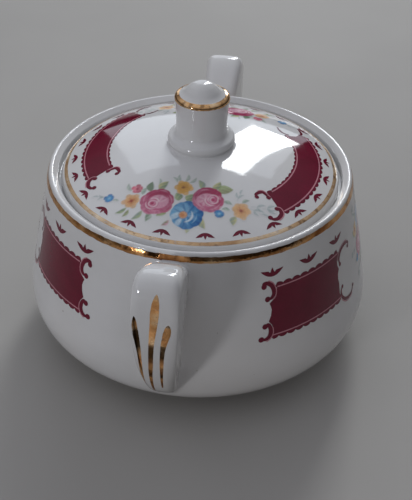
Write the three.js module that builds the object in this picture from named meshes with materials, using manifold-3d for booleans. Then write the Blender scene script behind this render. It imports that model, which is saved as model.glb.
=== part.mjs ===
// Lidded sugar bowl in glazed earthenware: round bowl on a foot ring, two loop handles,
// a domed lid that drops onto a ledge inside the rim, and a gilded knob on the lid.
// Millimetres, +Z up. The foot stands on z = 0 and the bowl's axis is the Z axis.

import * as THREE from 'three';
import { mergeVertices } from 'three/addons/utils/BufferGeometryUtils.js';
import Module from 'manifold-3d';

const wasm = await Module();
wasm.setup();

// ---- driving dimensions ---------------------------------------------------------------

const RIM_Z = 66.0;             // top of the bowl's rim above the table
const RIM_R = 51.5;             // radius at the outside of the rim's crest
const CREST_ROUND = 0.95;       // rounding along the crest
const LIP_SLOPE = 38;           // degrees the rim falls from its crest towards the lid
const LIP_ROUND = 0.5;          // rounding where that slope meets the inner wall
const RIM_INNER_R = 48.4;       // wall that the lid's edge drops inside
const LIP_DEPTH = 4.3;          // from the rim's crest down to the lid's ledge
const LEDGE_INNER_R = 45.2;     // mouth of the bowl inside the ledge

const FOOT_OUTER_R = 39.0;
const FOOT_INNER_R = 34.6;
const FOOT_EDGE = 0.9;          // rounding of the foot ring's two edges
const BASE_UNDER_Z = 2.4;       // underside of the bowl inside the foot ring
const FLOOR_Z = 6.2;            // inside of the bowl at its centre

const SLIP_GAP = 0.3;           // gap at every joint between separately made pieces

const LID_DOME_R = 115.0;       // radius of the sphere the lid is part of
const LID_APEX_Z = RIM_Z + 9.0;
const LID_EDGE_R = 47.3;
const LID_SHOULDER_R = 45.8;    // where the dome ends and the rounded edge begins
const LID_EDGE_TOP_Z = RIM_Z - 2.3;
const LID_THICK = 3.2;
const FLANGE_OUTER_R = 44.5;    // locating flange under the lid
const FLANGE_INNER_R = 41.9;
const FLANGE_DROP = 4.6;        // below the lid's seat

const KNOB_COLLAR_R = 11.3;     // rounded bead where the knob stands on the lid
const KNOB_NECK_R = 8.5;
const KNOB_TOP_R = 9.1;
const KNOB_SHOULDER_R = 1.1;    // rounding of the gilded shoulder
const KNOB_SHOULDER_Z = RIM_Z + 25.5;
const KNOB_APEX_Z = RIM_Z + 31.0;

const HANDLE_EDGE = 2.9;        // rounding of the strap's edges
const FRONT_TURN = 0.9;         // degrees each handle sits round from the cross axis
const REAR_TURN = 1.5;
const FRONT_LEAN = 0.02;        // sideways shift of the front handle per unit of height
const LEAN_Z = 45.0;            // height where the lean changes nothing
const EDGE_STEPS = 4;           // facets in each rounded edge of the strap
const STRAP_STEPS = 24;         // cross-sections along the strap

const BOWL_SEGMENTS = 48;
const LID_SEGMENTS = 48;
const KNOB_SEGMENTS = 28;

// ---- materials ------------------------------------------------------------------------

const glaze = new THREE.MeshStandardMaterial({ color: 0xd9d6d0, roughness: 0.16, metalness: 0 });
glaze.name = 'white_glaze';

// ---- small tools ----------------------------------------------------------------------

const v2 = (r, z) => new THREE.Vector2(r, z);

// Points along an arc of a circle in the (r, z) half-plane; angles in degrees.
function arc(cr, cz, radius, fromDeg, toDeg, steps) {
  const points = [];
  for (let i = 0; i <= steps; i += 1) {
    const a = THREE.MathUtils.degToRad(fromDeg + ((toDeg - fromDeg) * i) / steps);
    points.push(v2(cr + radius * Math.cos(a), cz + radius * Math.sin(a)));
  }
  return points;
}

// Points along a smooth curve through a few stations.
function smooth(stations, steps) {
  const curve = new THREE.SplineCurve(stations.map(([r, z]) => v2(r, z)));
  return curve.getPoints(steps);
}

// Welds a geometry, drops flat triangles and hands it over as a solid.
function toSolid(geometry) {
  geometry.deleteAttribute('normal');
  geometry.deleteAttribute('uv');
  const welded = mergeVertices(geometry, 1e-4);
  const index = welded.index.array;
  const keep = [];
  for (let i = 0; i < index.length; i += 3) {
    const [a, b, c] = [index[i], index[i + 1], index[i + 2]];
    if (a !== b && b !== c && c !== a) keep.push(a, b, c);
  }
  return new wasm.Manifold(new wasm.Mesh({
    numProp: 3,
    vertProperties: Float32Array.from(welded.attributes.position.array),
    triVerts: Uint32Array.from(keep),
  }));
}

// Turns a profile in (r, z) round the Z axis.
function revolve(profile, segments) {
  const lathe = new THREE.LatheGeometry(profile, segments);
  lathe.rotateX(Math.PI / 2);
  return toSolid(lathe);
}

function toMesh(solid, name, material) {
  const data = solid.getMesh();
  const geometry = new THREE.BufferGeometry();
  geometry.setAttribute('position', new THREE.BufferAttribute(new Float32Array(data.vertProperties), 3));
  geometry.setIndex(new THREE.BufferAttribute(new Uint32Array(data.triVerts), 1));
  geometry.computeVertexNormals();
  const mesh = new THREE.Mesh(geometry, material);
  mesh.name = name;
  return mesh;
}

// Height of the lid's top surface, or of a surface a distance below it, at a radius.
function domeZ(r, below = 0) {
  const radius = LID_DOME_R - below;
  return LID_APEX_Z - LID_DOME_R + Math.sqrt(radius * radius - r * r);
}

function domePoints(fromR, toR, steps, below = 0) {
  const points = [];
  for (let i = 0; i <= steps; i += 1) {
    const r = fromR + ((toR - fromR) * i) / steps;
    points.push(v2(r, domeZ(r, below)));
  }
  return points;
}

// ---- bowl -----------------------------------------------------------------------------

// Outside of the bowl from the foot ring up to just under the rim: it swells slowly
// downwards, is widest low down, and turns in quickly underneath.
const OUTER_STATIONS = [
  [FOOT_OUTER_R, 2.9],
  [45.5, 4.3],
  [51.6, 7.0],
  [56.2, 10.6],
  [59.2, 15.0],
  [60.2, 20.0],
  [59.9, 25.5],
  [58.7, 31.5],
  [57.2, 39.0],
  [55.5, 47.0],
  [53.9, 54.5],
  [52.8, 60.0],
  [52.2, 63.2],
];

// Inside of the bowl from the underside of the ledge down to the flat floor.
const INNER_STATIONS = [
  [LEDGE_INNER_R + 0.5, RIM_Z - LIP_DEPTH - 2.2],
  [47.9, 56.6],
  [49.8, 52.4],
  [51.8, 45.0],
  [53.5, 37.0],
  [55.2, 29.0],
  [56.1, 22.0],
  [54.6, 15.6],
  [50.2, 10.6],
  [43.5, 7.6],
  [35.0, FLOOR_Z],
];

function outerWall(steps) {
  return smooth(OUTER_STATIONS, steps);
}

function makeBowl() {
  const crest = v2(RIM_R - CREST_ROUND, RIM_Z - CREST_ROUND);
  const lipR = RIM_INNER_R + LIP_ROUND;
  const slope = THREE.MathUtils.degToRad(LIP_SLOPE);
  const drop = (crest.x - lipR) * Math.tan(slope) - (CREST_ROUND - LIP_ROUND) / Math.cos(slope);
  const ledgeZ = RIM_Z - LIP_DEPTH;
  const profile = [
    v2(0, BASE_UNDER_Z),
    v2(FOOT_INNER_R - 1.4, BASE_UNDER_Z),
    ...arc(FOOT_INNER_R + FOOT_EDGE, FOOT_EDGE, FOOT_EDGE, 180, 270, 3),
    ...arc(FOOT_OUTER_R - FOOT_EDGE, FOOT_EDGE, FOOT_EDGE, 270, 360, 3),
    ...outerWall(20),
    ...arc(crest.x, crest.y, CREST_ROUND, 10, 90 + LIP_SLOPE, 4),
    ...arc(lipR, crest.y - drop, LIP_ROUND, 90 + LIP_SLOPE, 180, 1),
    v2(RIM_INNER_R, ledgeZ),
    v2(LEDGE_INNER_R + 0.4, ledgeZ),
    v2(LEDGE_INNER_R, ledgeZ - 0.4),
    ...smooth(INNER_STATIONS, 13),
    v2(0, FLOOR_Z),
  ];
  return revolve(profile, BOWL_SEGMENTS);
}

// Everything inside the bowl's outer skin plus the slip gap: cuts the handle roots.
function makeRootCutter() {
  const profile = [
    v2(0, -1),
    v2(FOOT_OUTER_R + SLIP_GAP, -1),
    ...outerWall(20).map((p) => v2(p.x + SLIP_GAP, p.y)),
    v2(RIM_R + SLIP_GAP, RIM_Z + 12),
    v2(0, RIM_Z + 12),
  ];
  return revolve(profile, BOWL_SEGMENTS);
}

// ---- handles --------------------------------------------------------------------------

// Side view of a handle: x is the distance from the bowl's axis, y the height.
// The outside of the loop rises a little above the rim, then falls straight and
// tucks in low on the belly.
const HANDLE_OUTSIDE = [
  [47.0, 59.0],
  [52.4, 62.6],
  [56.0, 65.4],
  [60.0, 68.2],
  [64.0, 70.5],
  [68.0, 72.1],
  [71.2, 72.5],
  [74.2, 71.0],
  [76.2, 67.2],
  [76.8, 61.0],
  [76.4, 51.5],
  [74.8, 41.5],
  [71.6, 31.4],
  [66.9, 23.0],
  [60.6, 16.4],
  [53.0, 11.8],
];

// Width of the strap at each of those stations: narrow where it leaves the rim, widest
// over the shoulder of the loop, narrow again at the lower root.
const HANDLE_WIDTHS = [
  10.6, 11.2, 11.9, 12.6, 13.2, 13.7, 14.0, 14.2, 14.2, 14.2, 13.5, 12.3, 11.0, 10.1, 9.8, 9.8,
];

// The finger hole, which the bowl's own wall closes on the inner side.
const HANDLE_HOLE = [
  [45.0, 52.4],
  [55.5, 52.0],
  [61.5, 51.6],
  [66.4, 49.6],
  [69.3, 45.2],
  [69.6, 39.6],
  [67.6, 34.2],
  [63.4, 30.4],
  [57.5, 28.8],
  [50.0, 29.0],
];

// One cross-section of the strap: a rectangle with rounded corners between a point on the
// outside of the loop and its partner on the inside. Each ring runs once round it.
function strapSection(outer, inner, width, lean) {
  const middle = outer.clone().add(inner).multiplyScalar(0.5);
  const along = outer.clone().sub(inner);
  const halfThick = along.length() / 2;
  along.normalize();
  const halfWide = width / 2;
  const shift = lean * (middle.y - LEAN_Z);
  const edge = Math.min(HANDLE_EDGE, halfThick * 0.95);
  const ring = [];
  for (let corner = 0; corner < 4; corner += 1) {
    const wideSide = corner === 0 || corner === 3 ? 1 : -1;
    const thickSide = corner < 2 ? 1 : -1;
    for (let i = 0; i <= EDGE_STEPS; i += 1) {
      const a = (Math.PI / 2) * (corner + i / EDGE_STEPS);
      const wide = wideSide * (halfWide - edge) + edge * Math.cos(a);
      const thick = thickSide * (halfThick - edge) + edge * Math.sin(a);
      ring.push([middle.x + along.x * thick, wide + shift, middle.y + along.y * thick]);
    }
  }
  return ring;
}

function makeHandle(angleDeg, lean, cutter) {
  const outside = smooth(HANDLE_OUTSIDE, STRAP_STEPS);
  const inside = smooth(HANDLE_HOLE, STRAP_STEPS);
  const widths = smooth(HANDLE_WIDTHS.map((w, i) => [i, w]), STRAP_STEPS);
  const positions = [];
  const index = [];
  const around = 4 * (EDGE_STEPS + 1);
  for (let s = 0; s <= STRAP_STEPS; s += 1) {
    const ring = strapSection(outside[s], inside[s], widths[s].y, lean);
    for (const point of ring) positions.push(...point);
  }
  for (let s = 0; s < STRAP_STEPS; s += 1) {
    for (let i = 0; i < around; i += 1) {
      const a = s * around + i;
      const b = s * around + ((i + 1) % around);
      index.push(a, b, b + around, a, b + around, a + around);
    }
  }
  const last = STRAP_STEPS * around;
  for (let i = 1; i < around - 1; i += 1) {
    index.push(0, i + 1, i);
    index.push(last, last + i, last + i + 1);
  }
  const strap = new THREE.BufferGeometry();
  strap.setAttribute('position', new THREE.Float32BufferAttribute(positions, 3));
  strap.setIndex(index);
  strap.rotateZ(THREE.MathUtils.degToRad(angleDeg));
  return toSolid(strap).subtract(cutter);
}

// ---- lid ------------------------------------------------------------------------------

function makeLid() {
  const seatZ = RIM_Z - LIP_DEPTH + SLIP_GAP;
  const flangeEndZ = seatZ - FLANGE_DROP;
  const shoulder = smooth([
    [LID_SHOULDER_R, domeZ(LID_SHOULDER_R)],
    [46.7, domeZ(LID_SHOULDER_R) - 0.75],
    [LID_EDGE_R, LID_EDGE_TOP_Z],
  ], 4);
  const profile = [
    v2(0, domeZ(0, LID_THICK)),
    ...domePoints(6, FLANGE_INNER_R - 2.6, 5, LID_THICK),
    v2(FLANGE_INNER_R - 0.4, seatZ + 0.3),
    v2(FLANGE_INNER_R, seatZ - 1.2),
    ...arc((FLANGE_INNER_R + FLANGE_OUTER_R) / 2, flangeEndZ + 1.3, 1.3, 180, 360, 5),
    v2(FLANGE_OUTER_R, seatZ),
    v2(LID_EDGE_R - 0.5, seatZ),
    v2(LID_EDGE_R, seatZ + 0.5),
    ...shoulder.reverse(),
    ...domePoints(LID_SHOULDER_R, 0, 10).slice(1),
  ];
  return revolve(profile, LID_SEGMENTS);
}

// ---- knob -----------------------------------------------------------------------------

function makeKnob() {
  const underside = domePoints(0, KNOB_COLLAR_R - 0.5, 4).map((p) => v2(p.x, p.y + SLIP_GAP));
  const stem = smooth([
    [KNOB_COLLAR_R - 0.5, RIM_Z + 9.1],
    [KNOB_COLLAR_R - 0.05, RIM_Z + 10.1],
    [KNOB_COLLAR_R - 0.05, RIM_Z + 11.0],
    [KNOB_COLLAR_R - 0.5, RIM_Z + 11.8],
    [KNOB_COLLAR_R - 1.4, RIM_Z + 12.3],
    [KNOB_NECK_R + 0.6, RIM_Z + 12.9],
    [KNOB_NECK_R + 0.1, RIM_Z + 13.9],
    [KNOB_NECK_R, RIM_Z + 16.5],
    [KNOB_NECK_R + 0.2, RIM_Z + 21.5],
    [KNOB_TOP_R, RIM_Z + 25.2],
  ], 13);
  const cap = smooth([
    [KNOB_TOP_R - 0.9, KNOB_SHOULDER_Z + KNOB_SHOULDER_R],
    [7.2, RIM_Z + 27.0],
    [6.2, RIM_Z + 27.7],
    [5.1, RIM_Z + 28.8],
    [3.6, RIM_Z + 30.0],
    [1.8, RIM_Z + 30.8],
    [0, KNOB_APEX_Z],
  ], 9);
  const profile = [
    ...underside,
    ...stem,
    ...arc(KNOB_TOP_R - KNOB_SHOULDER_R, KNOB_SHOULDER_Z, KNOB_SHOULDER_R, 10, 65, 3),
    ...cap,
  ];
  profile[profile.length - 1].x = 0;
  return revolve(profile, KNOB_SEGMENTS);
}

// ---- assembly -------------------------------------------------------------------------

const part = new THREE.Group();
part.name = 'sugar_bowl';

const cutter = makeRootCutter();
part.add(toMesh(makeBowl(), 'bowl_body', glaze));
part.add(toMesh(makeHandle(-90 - FRONT_TURN, FRONT_LEAN, cutter), 'handle_front', glaze));
part.add(toMesh(makeHandle(90 + REAR_TURN, 0, cutter), 'handle_rear', glaze));
part.add(toMesh(makeLid(), 'lid', glaze));
part.add(toMesh(makeKnob(), 'knob', glaze));

export default part;
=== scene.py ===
"""Looks of a lidded sugar bowl: glossy white glaze, gilded lines and brush strokes,
maroon panels with pale line work, and flower sprays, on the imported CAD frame."""

import math
import random

import bpy
import numpy as np
from mathutils import Matrix, Vector


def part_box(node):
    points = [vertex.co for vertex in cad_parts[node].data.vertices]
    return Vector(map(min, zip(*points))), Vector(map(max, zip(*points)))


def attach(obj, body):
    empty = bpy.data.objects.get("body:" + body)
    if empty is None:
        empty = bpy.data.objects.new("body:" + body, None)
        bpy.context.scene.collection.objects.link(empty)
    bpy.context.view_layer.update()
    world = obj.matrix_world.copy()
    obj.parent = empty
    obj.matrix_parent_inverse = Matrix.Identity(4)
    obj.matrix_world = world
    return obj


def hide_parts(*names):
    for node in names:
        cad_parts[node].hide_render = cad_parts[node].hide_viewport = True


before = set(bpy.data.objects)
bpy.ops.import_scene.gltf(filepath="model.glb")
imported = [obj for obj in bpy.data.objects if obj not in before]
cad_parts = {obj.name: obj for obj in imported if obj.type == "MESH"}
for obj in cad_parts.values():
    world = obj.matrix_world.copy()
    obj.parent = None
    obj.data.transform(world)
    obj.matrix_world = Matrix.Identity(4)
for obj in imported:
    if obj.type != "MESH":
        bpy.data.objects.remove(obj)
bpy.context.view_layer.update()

# ---- sizes in millimetres, as in the CAD ---------------------------------------------

MM = 0.001
RIM_Z = round(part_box("bowl_body")[1][2] / MM, 1)
RIM_R = 51.5
RIM_INNER_R = 48.4
CREST_ROUND = 0.95
LIP_SLOPE = math.radians(38)
LIP_ROUND = 0.5
LIP_DEPTH = 4.3
LEDGE_INNER_R = 45.2
FOOT_OUTER_R = 39.0
FOOT_INNER_R = 34.6
FOOT_EDGE = 0.9
BASE_UNDER_Z = 2.4
FLOOR_Z = 6.2

LID_DOME_R = 115.0
LID_APEX_Z = RIM_Z + 9.0
LID_EDGE_R = 47.3
LID_SHOULDER_R = 45.8
LID_EDGE_TOP_Z = RIM_Z - 2.3
LID_THICK = 3.2
LID_SEAT_Z = RIM_Z - LIP_DEPTH + 0.3
FLANGE_OUTER_R = 44.5
FLANGE_INNER_R = 41.9
FLANGE_DROP = 4.6

KNOB_COLLAR_R = 11.3
KNOB_NECK_R = 8.5
KNOB_TOP_R = 9.1
KNOB_SHOULDER_R = 1.1
KNOB_SHOULDER_Z = RIM_Z + 25.5
KNOB_APEX_Z = RIM_Z + 31.0

HANDLE_EDGE = 2.9
FRONT_TURN = 0.9
REAR_TURN = 1.5
FRONT_LEAN = 0.02
LEAN_Z = 45.0

FILM = 0.035                    # how far a print or a gold line lies above the glaze

OUTER_STATIONS = [
    (FOOT_OUTER_R, 2.9), (45.5, 4.3), (51.6, 7.0), (56.2, 10.6), (59.2, 15.0),
    (60.2, 20.0), (59.9, 25.5), (58.7, 31.5), (57.2, 39.0), (55.5, 47.0),
    (53.9, 54.5), (52.8, 60.0), (52.2, 63.2),
]
INNER_STATIONS = [
    (LEDGE_INNER_R + 0.5, RIM_Z - LIP_DEPTH - 2.2), (47.9, 56.6), (49.8, 52.4),
    (51.8, 45.0), (53.5, 37.0), (55.2, 29.0), (56.1, 22.0), (54.6, 15.6),
    (50.2, 10.6), (43.5, 7.6), (35.0, FLOOR_Z),
]
HANDLE_OUTSIDE = [
    (47.0, 59.0), (52.4, 62.6), (56.0, 65.4), (60.0, 68.2), (64.0, 70.5), (68.0, 72.1),
    (71.2, 72.5), (74.2, 71.0), (76.2, 67.2), (76.8, 61.0), (76.4, 51.5), (74.8, 41.5),
    (71.6, 31.4), (66.9, 23.0), (60.6, 16.4), (53.0, 11.8),
]
HANDLE_WIDTHS = [
    10.6, 11.2, 11.9, 12.6, 13.2, 13.7, 14.0, 14.2, 14.2, 14.2, 13.5, 12.3, 11.0, 10.1, 9.8, 9.8,
]
HANDLE_HOLE = [
    (45.0, 52.4), (55.5, 52.0), (61.5, 51.6), (66.4, 49.6), (69.3, 45.2),
    (69.6, 39.6), (67.6, 34.2), (63.4, 30.4), (57.5, 28.8), (50.0, 29.0),
]

# ---- curves and surfaces ----------------------------------------------------------------


def spline(stations, steps):
    """Points along the same smooth curve through the stations that the CAD uses."""
    p = np.array(stations, float)
    n = len(p)
    t = np.linspace(0, n - 1, steps + 1)
    i = np.minimum(t.astype(int), n - 2)
    w = (t - i)[:, None]
    p0, p1 = p[np.maximum(i - 1, 0)], p[i]
    p2, p3 = p[i + 1], p[np.minimum(i + 2, n - 1)]
    v0, v1 = (p2 - p0) / 2, (p3 - p1) / 2
    return ((2 * p1 - 2 * p2 + v0 + v1) * w**3 + (-3 * p1 + 3 * p2 - 2 * v0 - v1) * w**2
            + v0 * w + p1)


def arc(cr, cz, radius, start, end, steps):
    a = np.radians(np.linspace(start, end, steps + 1))
    return np.stack([cr + radius * np.cos(a), cz + radius * np.sin(a)], 1)


def level_line(start, end, z, count):
    """Evenly spaced points between two radii at one height."""
    return np.stack([np.linspace(start, end, count), np.full(count, z)], 1)


def run_along(path):
    """How far each point of a path lies from its start, measured along it."""
    return np.concatenate([[0], np.cumsum(np.linalg.norm(np.diff(path, axis=0), axis=1))])


def directions(path):
    """Unit vectors along a path in a plane."""
    way = np.gradient(path, axis=0)
    return way / np.maximum(np.hypot(way[:, 0], way[:, 1]), 1e-9)[:, None]


def spin_about_z(angle):
    """Turns rows of points by an angle in degrees when they are multiplied by it."""
    c, s = math.cos(math.radians(angle)), math.sin(math.radians(angle))
    return np.array([[c, s, 0], [-s, c, 0], [0, 0, 1]])


def smoothstep(x, low, high):
    t = np.clip((np.asarray(x, float) - low) / (high - low), 0, 1)
    return t * t * (3 - 2 * t)


wall = spline(OUTER_STATIONS, 480)


def wall_radius(z):
    return np.interp(z, wall[:, 1], wall[:, 0])


def wall_slope(z):
    return (wall_radius(np.asarray(z) + 0.6) - wall_radius(np.asarray(z) - 0.6)) / 1.2


def on_wall(angle, z, lift=0.0):
    """Points and normals on the outside of the bowl, from angles in degrees and heights."""
    a = np.radians(angle)
    slope = wall_slope(z)
    length = np.sqrt(1 + slope**2)
    normal = np.stack([np.cos(a) / length, np.sin(a) / length, -slope / length], -1)
    r = wall_radius(z)
    point = np.stack([r * np.cos(a), r * np.sin(a), np.broadcast_to(z, np.shape(a))], -1)
    return point + normal * lift, normal


def wall_beside(point, lift=0.0):
    """The point and normal of the bowl's wall beside a point near it."""
    return on_wall(math.degrees(math.atan2(point[1], point[0])), point[2], lift)


def dome_z(r, below=0.0):
    radius = LID_DOME_R - below
    return LID_APEX_Z - LID_DOME_R + np.sqrt(radius**2 - np.asarray(r, float) ** 2)


def dome_line(start, end, count, below=0.0):
    r = np.linspace(start, end, count)
    return np.stack([r, dome_z(r, below)], 1)


def on_dome(x, y, lift=0.0):
    """Points and normals on the lid's dome above a point of its plan."""
    z = dome_z(np.hypot(x, y))
    point = np.stack([x, y, z], -1)
    normal = (point - np.array([0, 0, LID_APEX_Z - LID_DOME_R])) / LID_DOME_R
    return point + normal * lift, normal


def lid_patch(angle, radius):
    """Local plan on the lid: u to the right seen from outside, v towards the knob."""
    a = math.radians(angle)

    def at(u, v, lift):
        r = radius - v
        x = r * math.cos(a) - u * math.sin(a)
        y = r * math.sin(a) + u * math.cos(a)
        return on_dome(x, y, lift)
    return at


def lid_ring(x, r, lift):
    """Polar plan on the lid: x is an angle in degrees, r the radius."""
    a = np.radians(x)
    return on_dome(r * np.cos(a), r * np.sin(a), lift)


def wall_patch(angle, height):
    """Local plan on the bowl's wall: u to the right seen from outside, v upwards."""
    def at(u, v, lift):
        return on_wall(angle + np.degrees(u / wall_radius(height)), height + v, lift)
    return at


# ---- mesh helpers -----------------------------------------------------------------------


def make_mesh(name, points, faces, material, normals=None, inks=None):
    mesh = bpy.data.meshes.new(name)
    mesh.from_pydata((np.asarray(points) * MM).tolist(), [], faces)
    mesh.polygons.foreach_set("use_smooth", np.ones(len(mesh.polygons), bool))
    if inks is not None:
        layer = mesh.color_attributes.new(name="Ink", type="FLOAT_COLOR", domain="POINT")
        rgba = np.ones((len(points), 4), np.float32)
        rgba[:, :np.shape(inks)[1]] = inks
        layer.data.foreach_set("color", rgba.ravel())
    if normals is not None:
        mesh.normals_split_custom_set_from_vertices(np.asarray(normals).tolist())
    mesh.materials.append(material)
    mesh.update()
    piece = bpy.data.objects.new(name, mesh)
    bpy.context.scene.collection.objects.link(piece)
    return piece


def settle(piece, body, node=None):
    """Tells the frame a piece's body, and hides the CAD node it stands for if one is given."""
    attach(piece, body)
    if node:
        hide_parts(node)


def lathe(name, profile, segments, material):
    """A profile in (r, z) turned round the Z axis; ends on the axis close in a point."""
    profile = np.asarray(profile, float)
    a = np.arange(segments) * 2 * math.pi / segments
    points, rows = [], []
    for r, z in profile:
        first = len(points)
        if r < 1e-6:
            points.append((0, 0, z))
            rows.append([first] * segments)
        else:
            points.extend(zip(r * np.cos(a), r * np.sin(a), [z] * segments))
            rows.append(list(range(first, first + segments)))
    faces = []
    for low, high in zip(rows[:-1], rows[1:]):
        for i in range(segments):
            j = (i + 1) % segments
            ring = [low[i], low[j], high[j], high[i]]
            faces.append([v for k, v in enumerate(ring) if v != ring[k - 1]])
    return make_mesh(name, points, faces, material)


class Film:
    """Thin printed or gilded shapes lying on a glazed surface."""

    def __init__(self):
        self.points, self.normals, self.inks, self.faces = [], [], [], []
        self.count = 0

    def grid(self, at, u, v, lift, ink, closed=False):
        """A sheet over arrays u and v of one shape; ink is one colour or one per point."""
        u, v = np.broadcast_arrays(np.asarray(u, float), np.asarray(v, float))
        p, n = at(u, v, lift)
        rows, columns = u.shape
        self.points.append(p.reshape(-1, 3))
        self.normals.append(n.reshape(-1, 3))
        self.inks.append(np.broadcast_to(ink, (rows, columns, 3)).reshape(-1, 3))
        for i in range(rows if closed else rows - 1):
            for j in range(columns - 1):
                a = self.count + i * columns + j
                b = self.count + ((i + 1) % rows) * columns + j
                self.faces.append((a, b, b + 1, a + 1))
        self.count += rows * columns

    def ribbon(self, at, path, widths, lift, ink, across=3):
        """A stroke along a path in local plan, as wide as widths says at each point."""
        path = np.asarray(path, float)
        along = directions(path)
        side = np.stack([-along[:, 1], along[:, 0]], 1)
        half = np.broadcast_to(np.asarray(widths, float), len(path))[:, None] / 2
        t = np.linspace(-1, 1, across)[None]
        u = path[:, :1] + side[:, :1] * half * t
        v = path[:, 1:] + side[:, 1:] * half * t
        self.grid(at, u, v, lift, ink)

    def disc(self, at, cu, cv, radius, lift, ink):
        a = np.linspace(0, 2 * math.pi, 16, endpoint=False)[:, None]
        r = np.array([0.02, 0.55, 1.0])[None] * radius
        self.grid(at, cu + r * np.cos(a), cv + r * np.sin(a), lift, ink, closed=True)

    def piece(self, name, material, body, slot):
        points, normals = np.concatenate(self.points), np.concatenate(self.normals)
        inks = np.concatenate(self.inks)
        faces = []
        for f in self.faces:
            p = points[list(f)]
            outward = np.dot(np.cross(p[2] - p[0], p[3] - p[1]), normals[f[0]])
            faces.append(f if outward > 0 else f[::-1])
        settle(make_mesh(name, points, faces, material, normals, inks), body)


def ink(code):
    """A colour from its hex code, in linear light."""
    c = np.array([int(code[i:i + 2], 16) for i in (1, 3, 5)]) / 255
    return np.where(c < 0.04045, c / 12.92, ((c + 0.055) / 1.055) ** 2.4)


# ---- materials --------------------------------------------------------------------------


class Nodes:
    """Short hand for building the node tree of a material or of the world."""

    def __init__(self, owner):
        owner.use_nodes = True
        self.owner = owner
        self.tree = owner.node_tree
        self.where = self.tree.nodes.new("ShaderNodeTexCoord").outputs

    def add(self, kind, **values):
        node = self.tree.nodes.new(kind)
        for key, value in values.items():
            setattr(node, key, value)
        return node

    def link(self, a, b):
        self.tree.links.new(a, b)

    def noise(self, scale, detail=3.0, roughness=0.55):
        node = self.add("ShaderNodeTexNoise")
        node.inputs["Scale"].default_value = scale
        node.inputs["Detail"].default_value = detail
        node.inputs["Roughness"].default_value = roughness
        self.link(self.where["Object"], node.inputs["Vector"])
        return node.outputs["Fac"]

    def ramp(self, value, stops):
        node = self.add("ShaderNodeValToRGB")
        points = node.color_ramp.elements
        while len(points) < len(stops):
            points.new(0.5)
        for point, (position, colour) in zip(points, stops):
            point.position = position
            point.color = (*colour, 1)
        self.link(value, node.inputs["Fac"])
        return node.outputs["Color"]

    def curve(self, value, low, high, to_low, to_high, kind="SMOOTHSTEP"):
        node = self.add("ShaderNodeMapRange", interpolation_type=kind)
        for key, number in zip(("From Min", "From Max", "To Min", "To Max"),
                               (low, high, to_low, to_high)):
            node.inputs[key].default_value = number
        self.link(value, node.inputs["Value"])
        return node.outputs["Result"]

    def mix(self, factor, a, b, blend="MIX"):
        node = self.add("ShaderNodeMix", data_type="RGBA", blend_type=blend)
        for socket, value in ((node.inputs[0], factor), (node.inputs[6], a), (node.inputs[7], b)):
            if isinstance(value, bpy.types.NodeSocket):
                self.link(value, socket)
            elif isinstance(value, (int, float)):
                socket.default_value = value
            else:
                socket.default_value = (*value, 1)
        return node.outputs[2]

    def bump(self, height, strength, distance, under=None):
        node = self.add("ShaderNodeBump")
        node.inputs["Strength"].default_value = strength
        node.inputs["Distance"].default_value = distance
        self.link(height, node.inputs["Height"])
        if under is not None:
            self.link(under, node.inputs["Normal"])
        return node.outputs["Normal"]

    def set(self, **values):
        """Sets the inputs of the material's own shader."""
        for key, value in values.items():
            socket = self.tree.nodes["Principled BSDF"].inputs[key.replace("_", " ")]
            if isinstance(value, bpy.types.NodeSocket):
                self.link(value, socket)
            else:
                socket.default_value = value


def new_material(name):
    return Nodes(bpy.data.materials.new(name))


def glaze_colour(m):
    """Off-white glaze: faintly cloudy, warmer in places, with a very few tiny specks."""
    cloudy = m.ramp(m.noise(28, 4), [(0.30, ink("#d0cfce")), (0.55, ink("#d8d7d7")),
                                    (0.75, ink("#dddcdc"))])
    warm = m.mix(m.curve(m.noise(9, 2), 0.45, 0.7, 0.0, 0.5), cloudy, ink("#d8d3cd"))
    specks = m.curve(m.noise(620, 1), 0.80, 0.82, 0.0, 0.5)
    return m.mix(specks, warm, ink("#8b7d6c"))


def glaze_skin(m, colour, shine=0.5):
    """The glassy surface over a colour: slow ripples, faint orange-peel, uneven gloss."""
    slow = m.bump(m.noise(34, 2), 0.16, 0.0012)
    m.set(Base_Color=colour, Roughness=m.curve(m.noise(60, 3), 0.3, 0.7, 0.045, 0.10),
          IOR=1.52, Specular_IOR_Level=shine, Normal=m.bump(m.noise(420, 2), 0.03, 0.0002, slow))


def glaze_material():
    m = new_material("white_glaze")
    glaze_skin(m, glaze_colour(m))
    return m.owner


def biscuit_material():
    m = new_material("foot_biscuit")
    m.set(Base_Color=m.ramp(m.noise(300, 5), [(0.3, ink("#a99a83")), (0.7, ink("#d3c8b4"))]),
          Roughness=m.curve(m.noise(500, 3), 0.3, 0.7, 0.75, 0.95),
          Normal=m.bump(m.noise(1500, 3), 0.4, 0.0002))
    return m.owner


def gilding_material(name, tones, wear_from, metal):
    """Burnished gold, thinner and browner in patches, worn through to the glaze in spots."""
    m = new_material(name)
    wear = m.noise(620, 4, 0.7)
    worn = m.curve(wear, wear_from, wear_from + 0.07, 0.0, 0.85)
    tone = m.ramp(m.noise(150, 4), [(0.30 + 0.2 * i, ink(code)) for i, code in enumerate(tones)])
    dark = m.curve(m.noise(330, 4, 0.65), 0.54, 0.66, 0.0, 0.6)
    # The Ink layer multiplies the gold's colour; on the handle strokes it carries their painted
    # highlight and painted dark reflection.
    laid = m.add("ShaderNodeAttribute", attribute_name="Ink").outputs["Color"]
    body = m.mix(1.0, m.mix(dark, tone, ink("#56341f")), laid, "MULTIPLY")
    m.set(Base_Color=m.mix(worn, body, ink("#b3a498")),
          Metallic=m.curve(wear, wear_from, wear_from + 0.07, metal, 0.15),
          Roughness=m.curve(m.noise(240, 4), 0.3, 0.7, 0.06, 0.24))
    coarse = m.bump(m.noise(300, 3), 0.55, 0.0002)
    m.set(Normal=m.bump(m.noise(1500, 2), 0.15, 0.0001, coarse))
    return m.owner


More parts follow.
